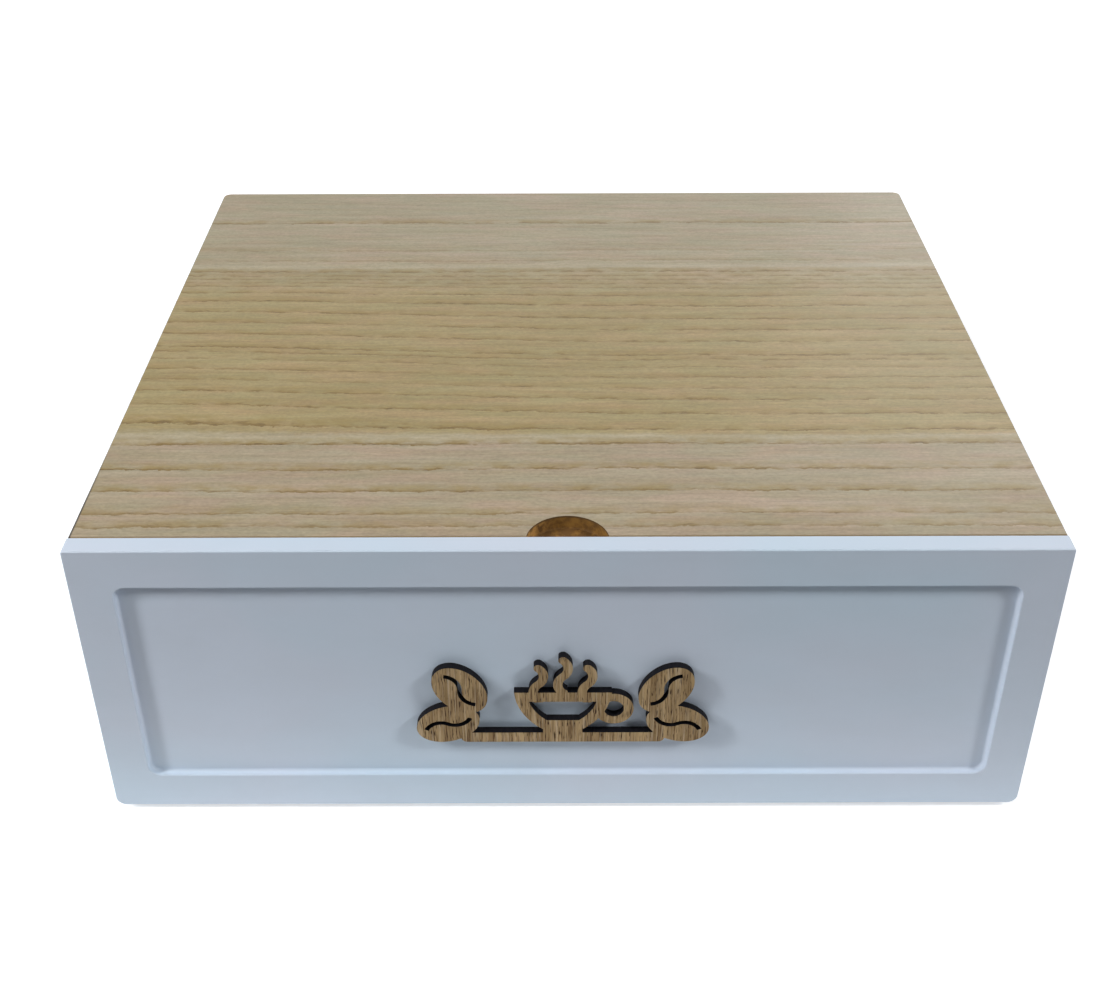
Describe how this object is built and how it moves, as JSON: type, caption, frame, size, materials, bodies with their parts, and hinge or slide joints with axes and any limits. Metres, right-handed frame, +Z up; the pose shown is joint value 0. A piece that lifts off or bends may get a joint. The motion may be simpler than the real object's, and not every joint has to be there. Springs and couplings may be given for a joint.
{
  "type": "coffee capsule drawer",
  "caption": "Low case with a wood-veneered top to stand a coffee machine on, and a pull-out drawer with a grid of capsule cells behind a white front with a wooden ornament.",
  "frame": {"origin": "on the ground under the middle of the whole object's bounding box, with the drawer shut", "axes": "+X to the right seen from the front, +Y from the front to the back, +Z up"},
  "size_m": [0.33, 0.297, 0.1175],
  "materials": {
    "oak_veneer": "satin lacquered oak veneer on fibreboard",
    "white_paint": "fibreboard in satin white paint",
    "raw_fibreboard": "bare sanded fibreboard with dark cut edges",
    "divider_board": "bare thin board with dark laser-cut edges",
    "oak_plywood": "oak-faced thin board with near-black laser-cut edges",
    "foot_rubber": "matt rubber",
    "zinc_steel": "zinc plated"
  },
  "bodies": {
    "case": {"top_panel": "oak_veneer", "left_side": "white_paint", "right_side": "white_paint", "back_panel": "white_paint", "base_panel": "raw_fibreboard", "foot_back_left": "foot_rubber", "foot_back_right": "foot_rubber", "foot_front_left": "foot_rubber", "foot_front_right": "foot_rubber"},
    "drawer": {"drawer_front": "white_paint", "front_ornament": "oak_plywood", "inner_front": "raw_fibreboard", "drawer_left_wall": "raw_fibreboard", "drawer_right_wall": "raw_fibreboard", "drawer_back": "raw_fibreboard", "drawer_bottom": "raw_fibreboard", "front_screws": "zinc_steel", "long_divider_1": "divider_board", "long_divider_2": "divider_board", "long_divider_3": "divider_board", "long_divider_4": "divider_board", "long_divider_5": "divider_board", "cross_divider_1": "divider_board", "cross_divider_2": "divider_board", "cross_divider_3": "divider_board", "cross_divider_4": "divider_board"}
  },
  "joints": [
    {"name": "drawer_slide", "type": "slide", "parent": "case", "child": "drawer", "axis": [0, -1, 0], "range_m": [0, 0.2]}
  ]
}
